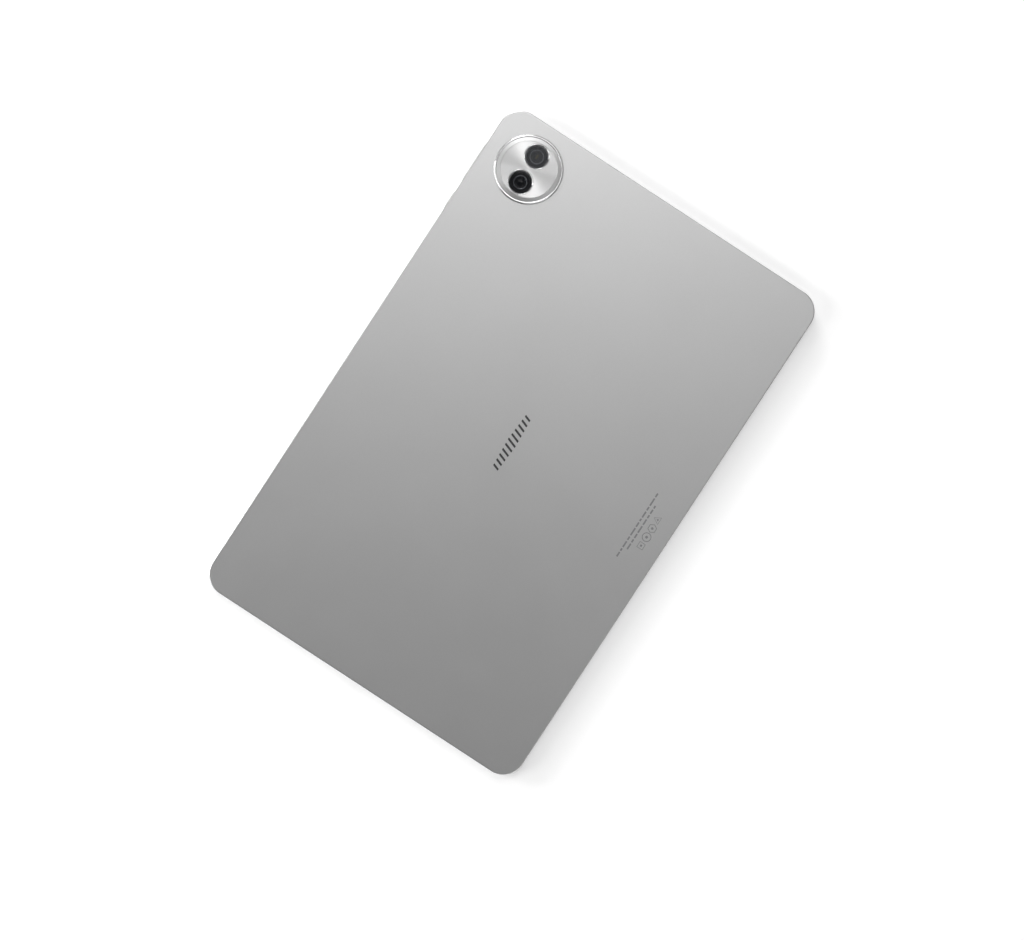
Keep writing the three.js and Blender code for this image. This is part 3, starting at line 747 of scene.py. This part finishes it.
def screw_bosses(radius, z0, z1, name):
    """A round post at each screw."""
    profile = [(0, z0), (radius, z0), (radius, z1), (0, z1)]
    bm = bmesh.new()
    for node in sorted(NODES):
        if "_screw_" in node:
            turned(bm, profile, centre_of(node).xy, 24, close=False)
    return mesh_object(name, bm)


housing = housing_blank()
cut(housing, screw_bosses(1.8, 3.75, BAY_TOP + 0.2, "bosses"), "UNION")
cut(housing, screw_bosses(0.75, 3.0, BAY_TOP - 0.1, "boss_holes"))
for opening in (deck_opening, key_pockets, key_slots, socket_mouth, side_holes):
    cut(housing, opening())
tidy_mesh(housing)
weigh_normals(housing)
piece(housing, "chassis", "anodised_housing", ["rear_housing"], "housing")

# ---------------------------------------------------------------- camera deck


def own_centre(obj, middle):
    """Moves a mesh's origin to middle, in millimetres, so that its material can turn round it."""
    offset = Vector(middle) * MM
    obj.data.transform(Matrix.Translation(-offset))
    obj.location = offset
    return obj


def turned_piece(name, profile, middle, smooth_deg=SMOOTH_DEG, sides=ROUND, close=False):
    """A turned body with its origin on its own axis."""
    bm = turned(bmesh.new(), profile, middle.xy, sides, close)
    return own_centre(mesh_object(name, bm, smooth_deg), (middle.x, middle.y, 0))


def deck_ring():
    """The polished, rounded outer band and the satin bezel that rises from it to the spun plate."""
    outer, bore = DECK_R, 12.5
    ledge = 6.7  # the step that the plate rests on
    band_r = 0.5  # the round of the outer band
    dip = 0.2  # how far the band rolls down again towards the bezel
    seat = [(bore, DECK_LOW.z), (bore + 0.4, DECK_LOW.z), (bore + 0.4, DECK_SEAT_Z + 0.02)]
    side = [(outer - 0.05, DECK_SEAT_Z + 0.02), (outer, DECK_SEAT_Z + 0.07)]
    crown = [
        (outer - band_r + band_r * c, BAND_Z - band_r + band_r * s)
        for c, s in arc(1.0, 0, 90, 10)
    ]
    shoulder = [
        (outer - band_r - band_r * s, BAND_Z - dip + dip * c) for c, s in arc(1.0, 12, 62, 5)
    ]
    bezel = [
        (outer - 1.0, BAND_Z - 0.12),
        (outer - 1.03, BAND_Z - 0.09),
        (PLATE_R + 0.24, DECK_TOP - 0.02),
        (PLATE_R + 0.16, DECK_TOP),
        (PLATE_R + 0.1, DECK_TOP),
        (PLATE_R + 0.05, DECK_TOP - 0.05),
        (PLATE_R + 0.05, ledge),
        (bore, ledge),
    ]
    profile = seat + side + crown + shoulder + bezel
    obj = turned_piece("deck_ring", profile, DECK, 24.0, 2 * ROUND, close=True)
    for face in obj.data.polygons:
        middle = face.center
        if middle.xy.length < (outer - 1.02) * MM and middle.z > BAND_Z * MM - 0.0001:
            face.material_index = 1
    return obj


def deck_plate():
    """The spun plate, with a hole for each window."""
    low, high = PLATE_LOW.z, DECK_TOP - 0.04
    loops = []
    for radius, z in ((PLATE_R, low), (PLATE_R, high - 0.1), (PLATE_R - 0.12, high)):
        outline = regular_outline(radius, 2 * ROUND, (DECK.x, DECK.y))
        loops.append([(x, y, z) for x, y in outline])
    bm = bmesh.new()
    skin(bm, loops)
    plate = mesh_object("deck_plate", bm)
    hole_r = TRIM_R + 0.08
    chamfer = 0.06
    profile = [
        (0, low - 1),
        (hole_r, low - 1),
        (hole_r, high - chamfer),
        (hole_r + chamfer, high),
        (hole_r + chamfer + 1, high + 1),
        (0, high + 1),
    ]
    holes = bmesh.new()
    for middle in (CAMERA, FLASH):
        turned(holes, profile, middle.xy, ROUND, close=False)
    cut(plate, mesh_object("window_holes", holes))
    tidy_mesh(plate)
    return own_centre(plate, (DECK.x, DECK.y, (low + high) / 2))


def trim_ring(name, middle):
    """A thin bright ring with a rounded top, stepped inside to hold its window."""
    z0, top = TRIM_LOW.z, TRIM_HIGH.z
    inner = WINDOW_R + 0.05
    half = (TRIM_R - inner) / 2
    step_r, step_t = inner - 0.35, 0.2
    crown = [(inner + half + half * x, top - half + half * z) for x, z in arc(1.0, 0, 180, 8)]
    step = [(inner, z0 + step_t), (step_r, z0 + step_t)]
    profile = [(step_r, z0), (TRIM_R, z0), *crown, *step]
    return turned_piece(name, profile, middle, 50.0, close=True)


def window_pane(name, middle):
    """A lens cover with a ground edge."""
    low, high = WINDOW_LOW.z, WINDOW_HIGH.z
    bevel = 0.14
    edge = [(WINDOW_R, low), (WINDOW_R, high - bevel), (WINDOW_R - bevel, high)]
    return turned_piece(name, [(0, low), *edge, (0, high)], middle, 20.0)


def polish_rim(obj, inner, floor):
    """Gives the second finish to the faces of obj that lie outside inner and above floor."""
    for face in obj.data.polygons:
        if face.center.xy.length > inner * MM and face.center.z > floor * MM:
            face.material_index = 1


def focus_lens():
    """The moving barrel: a rounded glossy rim, a stepped dark cone and a domed first element."""
    low, high = box_mm("focus_barrel")
    middle = centre_of("focus_barrel")
    r = high.x - middle.x
    top = high.z
    rim_r = 0.28
    floor = top - 0.75
    rim = [(r - rim_r + rim_r * x, top - rim_r + rim_r * z) for x, z in arc(1.0, 0, 180, 10)]
    cone = [
        (r - 0.6, top - 0.45),
        (2.6, top - 0.5),
        (2.55, top - 0.62),
        (2.1, top - 0.66),
        (2.05, floor),
        (1.75, floor),
    ]
    profile = [(0, low.z), (r, low.z), *rim, *cone, (0, floor)]
    barrel = turned_piece("focus_barrel_body", profile, middle, 40.0)
    polish_rim(barrel, r - 0.6, top - 0.3)
    dome_r, dome_low, dome_rise = 1.7, top - 0.74, 0.36
    rise = [(dome_r * x, dome_low + dome_rise * z) for x, z in arc(1.0, 0, 90, 10)[:-1]]
    profile = [(0, dome_low), *rise, (0, dome_low + dome_rise)]
    return barrel, turned_piece("focus_barrel_lens", profile, middle, 60.0)


def camera_shroud():
    """A fixed matt cone between the barrel and the window's edge."""
    inner, outer, low, top = 4.0, 5.2, 6.35, 6.68
    profile = [(inner, low), (outer, low), (outer, top), (outer - 0.3, top), (inner, low + 0.12)]
    return turned_piece("camera_shroud", profile, centre_of("focus_barrel"), close=True)


def flash_unit():
    """The flash's smoky rim and plate, its ribbed lens and the two lamps under it."""
    low, high = box_mm("flash_led_board")
    middle = centre_of("flash_led_board")
    r = high.x - middle.x
    stem_r, stem_top = 1.5, 5.6
    base = 6.0
    rim = [(3.3 + 0.26 * x, base + 0.25 + 0.24 * z) for x, z in arc(1.0, 0, 180, 10)]
    stem = [(0, low.z), (stem_r, low.z), (stem_r, stem_top), (r, stem_top)]
    apron = [(r, base - 0.05), (4.6, base), (3.56, base + 0.2)]
    profile = [*stem, *apron, *rim, (3.04, base), (0, base)]
    tray = turned_piece("flash_tray", profile, middle, 40.0)
    polish_rim(tray, 3.0, base + 0.23)
    lens_r, lens_low, rib_count, rib_pitch = 1.6, base + 0.05, 7, 0.2
    ribs = [(0, lens_low), (lens_r, lens_low), (lens_r, base + 0.30)]
    for i in range(rib_count):
        radius = lens_r - 0.08 - rib_pitch * i
        ribs += [(radius, base + 0.40), (radius - 0.14, base + 0.32)]
    ribs += [(0, base + 0.38)]
    lens = turned_piece("flash_lens", ribs, middle, 20.0, 64)
    bm = bmesh.new()
    for side in (-1, 1):
        x = middle.x + side * 0.55
        outline = [(px + x, py + middle.y) for px, py in rounded_outline(0.38, 0.5, 0.1, 4)]
        skin(bm, [[(px, py, z) for px, py in outline] for z in (base + 0.39, base + 0.43)])
    dies = mesh_object("flash_dies", bm)
    return tray, lens, dies


ring = deck_ring()
weigh_normals(ring)
piece(ring, "chassis", "polished_metal", ["camera_deck_ring"], "polished", "satin")
plate = deck_plate()
weigh_normals(plate)
piece(plate, "chassis", "spun_metal", ["camera_deck_plate"], "spun")
for label, middle in (("camera", CAMERA), ("flash", FLASH)):
    trim = trim_ring(label + "_trim", middle)
    piece(trim, "chassis", "polished_metal", [label + "_trim_ring"], "polished")
    pane = window_pane(label + "_pane", middle)
    piece(pane, "chassis", "window_glass", [label + "_window"], label + "_glass")
barrel, dome = focus_lens()
piece(barrel, "focus_barrel", "black_plastic", ["focus_barrel"], "gloss_black", "rim")
piece(dome, "focus_barrel", "black_plastic", [], "lens")
piece(camera_shroud(), "chassis", "black_plastic", [], "black_plastic")
flash_tray, flash_lens, flash_dies = flash_unit()
piece(flash_tray, "chassis", "white_plastic", ["flash_led_board"], "smoke", "rim")
piece(flash_lens, "chassis", None, [], "smoke")
piece(flash_dies, "chassis", None, [], "die")

# ---------------------------------------------------------------- side keys


def key_cap(name, node):
    """A key: its rounded bar with a softened face, the flange behind it and its nubs."""
    low, high = box_mm(node)
    x = (low.x + high.x) / 2
    length = high.x - low.x - KEY_SHOULDERS
    flange_y = HALF_Y - 2.0
    flange_t = 0.7
    r = 0.3
    stations = [(flange_y - 0.05, 0.0), (high.y - r, 0.0)]
    stations += [(high.y - r + r * s, r - r * c) for c, s in arc(1.0, 0, 90, 6)[1:]]
    bm = bmesh.new()
    skin(bm, [along_y(bar_loop(length, KEY_HEIGHT, inset, x, KEY_Z), y) for y, inset in stations])
    cap = mesh_object(name, bm)
    bm = bmesh.new()
    slab(bm, low.x, high.x, flange_y - flange_t, flange_y, KEY_Z - 1.25, KEY_Z + 1.25)
    cut(cap, mesh_object(name + "_flange", bm), "UNION")
    offsets = (0.0,) if node == "power_button" else (-7.5, 7.5)
    for offset in offsets:
        profile = [(0, 0), (0.7, 0), (0.8, 0.1), (0.8, 0.8), (0, 0.8)]
        nub = turned(bmesh.new(), profile, sides=20, close=False)
        turn = Matrix.Rotation(-math.pi / 2, 4, "X")
        shift = Matrix.Translation((x + offset, low.y, KEY_Z))
        bmesh.ops.transform(nub, matrix=shift @ turn, verts=nub.verts)
        cut(cap, mesh_object(name + "_nub", nub), "UNION")
    tidy_mesh(cap)
    weigh_normals(cap)
    return cap


for name, node in (("power_key", "power_button"), ("volume_key", "volume_rocker")):
    piece(key_cap(name, node), node, "anodised_keys", [node], "keys")

# ---------------------------------------------------------------- charging socket


def socket_shell():
    """The drawn steel shell, with a rolled lip at its mouth."""
    low, high = box_mm("usb_c_shell")
    wide, tall = high.y - low.y, high.z - low.z
    wall, back = 0.3, low.x + 6.6  # back is the inner face of the closed end
    outer = [(low.x + 0.08, 0.0), (high.x - 0.4, 0.0), (high.x - 0.1, 0.1), (high.x, 0.4)]
    inner = [(back, wall), (low.x + 0.15, wall), (low.x, wall - 0.12), (low.x, 0.08)]
    loops = [along_x(bar_loop(wide, tall, inset, 0, USB.z), x) for x, inset in inner + outer]
    bm = bmesh.new()
    skin(bm, loops)
    return mesh_object("usb_shell", bm)


def socket_tongue():
    """The tongue, with a chamfered tip and a stepped heel."""
    low, high = box_mm("usb_c_tongue")
    z = USB.z
    stations = [
        (low.x, 3.15, 0.2),
        (low.x + 0.2, 3.35, 0.35),
        (high.x - 1.25, 3.35, 0.35),
        (high.x - 1.2, 3.6, 0.65),
        (high.x, 3.6, 0.65),
    ]
    loops = []
    for x, half_y, half_z in stations:
        outline = rounded_outline(half_y, half_z, 0.12, 3)
        loops.append([(x, py, pz + z) for py, pz in outline])
    bm = bmesh.new()
    skin(bm, loops)
    return mesh_object("usb_tongue", bm)


def socket_contacts():
    """Twelve contacts on each side of the tongue."""
    low, high = box_mm("usb_c_tongue")
    count, pitch, half_wide = 12, 0.5, 0.12
    bm = bmesh.new()
    for side in (-1, 1):
        for i in range(count):
            y = (i - (count - 1) / 2) * pitch
            z0, z1 = sorted((USB.z + side * 0.34, USB.z + side * 0.37))
            slab(bm, low.x + 0.5, high.x - 1.5, y - half_wide, y + half_wide, z0, z1)
    return mesh_object("usb_contacts", bm)


piece(socket_shell(), "chassis", "sheet_steel", ["usb_c_shell"], "steel")
piece(socket_tongue(), "chassis", "black_plastic", ["usb_c_tongue"], "black_plastic")
piece(socket_contacts(), "chassis", None, [], "contact")

# ---------------------------------------------------------------- front


def cover_glass():
    """The front glass with its edge rounded towards the face."""
    high = box_mm("cover_glass")[1]
    corner = CORNER_R - (HALF_X - high.x)
    edge_r, chamfer = 0.25, 0.06
    levels = [(edge_r - edge_r * c, edge_r - edge_r * s) for c, s in arc(1.0, 90, 0, 6)]
    levels += [(0.0, high.z - chamfer), (chamfer, high.z)]
    loops = []
    for inset, z in levels:
        outline = rounded_outline(high.x - inset, high.y - inset, corner - inset, CORNER_STEPS)
        loops.append([(x, y, z) for x, y in outline])
    bm = bmesh.new()
    skin(bm, loops)
    obj = mesh_object("front_glass_sheet", bm)
    weigh_normals(obj)
    return obj


def front_frame():
    """The thin plastic frame that shows as a dark line between the glass and the metal."""
    low, high = box_mm("display_frame")
    outer, lip, window = HALF_X - high.x, 1.75, 4.5
    shelf, chamfer = 0.72, 0.06
    levels = [
        (lip, shelf),
        (lip, low.z + chamfer),
        (lip - chamfer, low.z),
        (outer + chamfer, low.z),
        (outer, low.z + chamfer),
        (outer, high.z),
        (window, high.z),
        (window, shelf),
    ]
    bm = bmesh.new()
    skin(bm, [inset_loop(inset, z) for inset, z in levels], close=True)
    return mesh_object("front_frame", bm)


def front_eye():
    """The front camera's opening and the light sensor's dot, set in the glass."""
    bm = bmesh.new()
    eyes = (  # node, radius, radius of its flat face, height of that face, facets
        ("front_camera", 1.35, 1.2, -0.012, 48),
        ("light_sensor", 0.7, 0.6, -0.010, 32),
    )
    for node, radius, face_r, face_z, sides in eyes:
        profile = [(0, 0.2), (radius, 0.2), (radius, -0.004), (face_r, face_z), (0, face_z)]
        turned(bm, profile, centre_of(node).xy, sides, close=False)
    return mesh_object("front_eyes", bm)


piece(cover_glass(), "chassis", "black_glass", ["cover_glass"], "front_glass")
piece(front_frame(), "chassis", "black_plastic", ["display_frame"], "black_plastic")
piece(front_eye(), "chassis", None, [], "lens")

# ---------------------------------------------------------------- printed marks

INK_T = 0.012
INK_LIFT = 0.001


def printed(bm, outline):
    """One flat printed shape on the back."""
    levels = (BACK_Z + INK_LIFT, BACK_Z + INK_T)
    skin(bm, [[(x, y, z) for x, y in outline] for z in levels])


def printed_ring(bm, outer, inner):
    """A flat printed outline, from two equal loops."""
    z0, z1 = BACK_Z + INK_LIFT, BACK_Z + INK_T
    loops = [[(x, y, z0) for x, y in outer], [(x, y, z1) for x, y in outer]]
    loops += [[(x, y, z1) for x, y in inner], [(x, y, z0) for x, y in inner]]
    skin(bm, loops, close=True)


def centre_mark():
    """A plain decorative mark: a row of leaning bars that grow towards the middle."""
    bm = bmesh.new()
    count, pitch, lean = 11, 2.8, 0.35
    half_w, tallest, taper = 0.55, 2.6, 0.9
    for i in range(count):
        x = (i - (count - 1) / 2) * pitch
        half_h = tallest - taper * abs(x) / (pitch * (count - 1) / 2)
        corners = rounded_outline(half_w, half_h, 0.3, 4)
        printed(bm, [(x + px + lean * py, py) for px, py in corners])
    return mesh_object("centre_mark", bm)


def fine_print():
    """Two rows of letterless dashes and a row of plain outlined shapes."""
    bm = bmesh.new()
    half_h, shortest, gap = 0.42, 0.6, 0.7
    rows = (  # y, half the row's length, lengths of its dashes in turn
        (-72.6, 18.2, (2.6, 1.4, 3.4, 2.0, 4.2)),
        (-74.9, 12.5, (3.2, 1.8, 2.4, 3.8)),
    )
    for y, half_span, pattern in rows:
        x, i = -half_span, 0
        while x < half_span - shortest:
            length = min(pattern[i % len(pattern)], half_span - x)
            outline = rounded_outline(length / 2, half_h, 0.2, 3)
            printed(bm, [(x + length / 2 + px, y + py) for px, py in outline])
            x += length + gap
            i += 1
    shapes_y, outer_r, inner_r, dot_r = -79.6, 2.3, 1.95, 0.7
    shapes = ((-7.4, 4, 45), (-2.5, 48, 0), (2.5, 6, 0), (7.4, 3, 90))  # x, sides, turn
    for x, sides, turn in shapes:
        outer, inner, dot = (
            regular_outline(radius, sides, (x, shapes_y), turn)
            for radius in (outer_r, inner_r, dot_r)
        )
        printed_ring(bm, outer, inner)
        printed(bm, dot)
    return mesh_object("fine_print", bm)


piece(centre_mark(), "chassis", None, [], "mark_ink")
piece(fine_print(), "chassis", None, [], "fine_ink")

# ---------------------------------------------------------------- floor, light and camera


FLOOR_HALF = 6.0  # metres
FLOOR_Z = -0.0002  # metres


def stage_floor(glow):
    """A pale table top, lit a little from below as a product table is."""
    n = Nodes("studio_floor")
    cloud = n.noise(3.0, 2.0)
    n.set(Base_Color=n.blend(cloud, (0.90, 0.90, 0.90), (0.92, 0.92, 0.92)), Roughness=0.6)
    n.set(Emission_Color=(1.0, 1.0, 1.0, 1.0), Emission_Strength=glow)
    n.shader.inputs["Specular IOR Level"].default_value = 0.2
    bm = bmesh.new()
    bmesh.ops.create_grid(bm, x_segments=1, y_segments=1, size=FLOOR_HALF)
    mesh = bpy.data.meshes.new("floor")
    bm.to_mesh(mesh)
    bm.free()
    mesh.materials.append(n.material)
    floor = place(bpy.data.objects.new("floor", mesh))
    floor.location.z = FLOOR_Z


TURN = math.radians(56.8)  # how far the tablet's long side leans up from the picture's level
RIGHT = Vector((math.cos(TURN), -math.sin(TURN), 0))
UP = Vector((math.sin(TURN), math.cos(TURN), 0))

GLOW = 0.29  # strength of the table top's own light
FILL = 0.14  # strength of the even light from all round
# Name, bearing (degrees counter-clockwise from RIGHT), height above the floor (degrees),
# distance (m), width and height (m), power (W).
LIGHTS = (
    ("key", 165, 15, 1.7, 0.5, 0.5, 14.9),
    ("left_high", 190, 30, 1.7, 0.7, 0.7, 8.7),
    ("top_low", 105, 15, 1.7, 0.5, 0.5, 10.2),
    ("top_low_right", 92, 15, 1.7, 0.5, 0.5, 5.1),
    ("top_middle", 105, 45, 1.7, 0.8, 0.8, 2.2),
    ("top_high", 75, 60, 1.7, 0.8, 0.8, 3.9),
    ("overhead_left", 120, 70, 1.7, 0.6, 0.6, 1.2),
    ("overhead_right", 75, 70, 1.7, 0.6, 0.6, 1.4),
    ("bottom_middle", 272, 30, 1.7, 0.7, 0.7, 2.3),
    ("side_middle", 300, 30, 1.7, 0.7, 0.7, 3.5),
    ("right_high", 330, 60, 1.7, 0.8, 0.8, 1.1),
    ("right_middle", 12, 45, 1.7, 0.8, 0.8, 0.6),
)


def area_light(name, bearing, height, distance, width, depth, power):
    """A soft box that faces the middle of the tablet."""
    data = bpy.data.lights.new(name, "AREA")
    data.shape = "RECTANGLE"
    data.size = width
    data.size_y = depth
    data.energy = power
    light = place(bpy.data.objects.new(name, data))
    a, h = math.radians(bearing), math.radians(height)
    toward = (RIGHT * math.cos(a) + UP * math.sin(a)) * math.cos(h) + Vector((0, 0, math.sin(h)))
    light.location = toward * distance
    light.rotation_euler = toward.to_track_quat("Z", "Y").to_euler()
    return light


def studio_world(fill):
    """Even white light from all round."""
    world = bpy.data.worlds.new("studio")
    world.use_nodes = True
    background = world.node_tree.nodes["Background"]
    background.inputs["Color"].default_value = (1.0, 1.0, 1.0, 1.0)
    background.inputs["Strength"].default_value = fill
    bpy.context.scene.world = world


def photo_camera():
    """A long lens, straight above the tablet's back."""
    data = bpy.data.cameras.new("camera")
    data.lens = 100.0
    data.sensor_width = 36.0
    data.clip_start, data.clip_end = 0.05, 20.0
    camera = place(bpy.data.objects.new("camera", data))
    seen_width = 0.4956  # metres across the picture, at the height of the back
    distance = seen_width * data.lens / data.sensor_width
    aim = -0.01316 * UP + 0.0001 * RIGHT  # metres from the frame's origin
    axes = Matrix((RIGHT, UP, Vector((0, 0, 1)))).transposed()
    eye = aim + Vector((0, 0, BACK_Z * MM + distance))
    camera.matrix_world = Matrix.Translation(eye) @ axes.to_4x4()
    bpy.context.scene.camera = camera


stage_floor(GLOW)
for light in LIGHTS:
    area_light(*light)
studio_world(FILL)
photo_camera()
bpy.context.scene.view_settings.view_transform = "Standard"
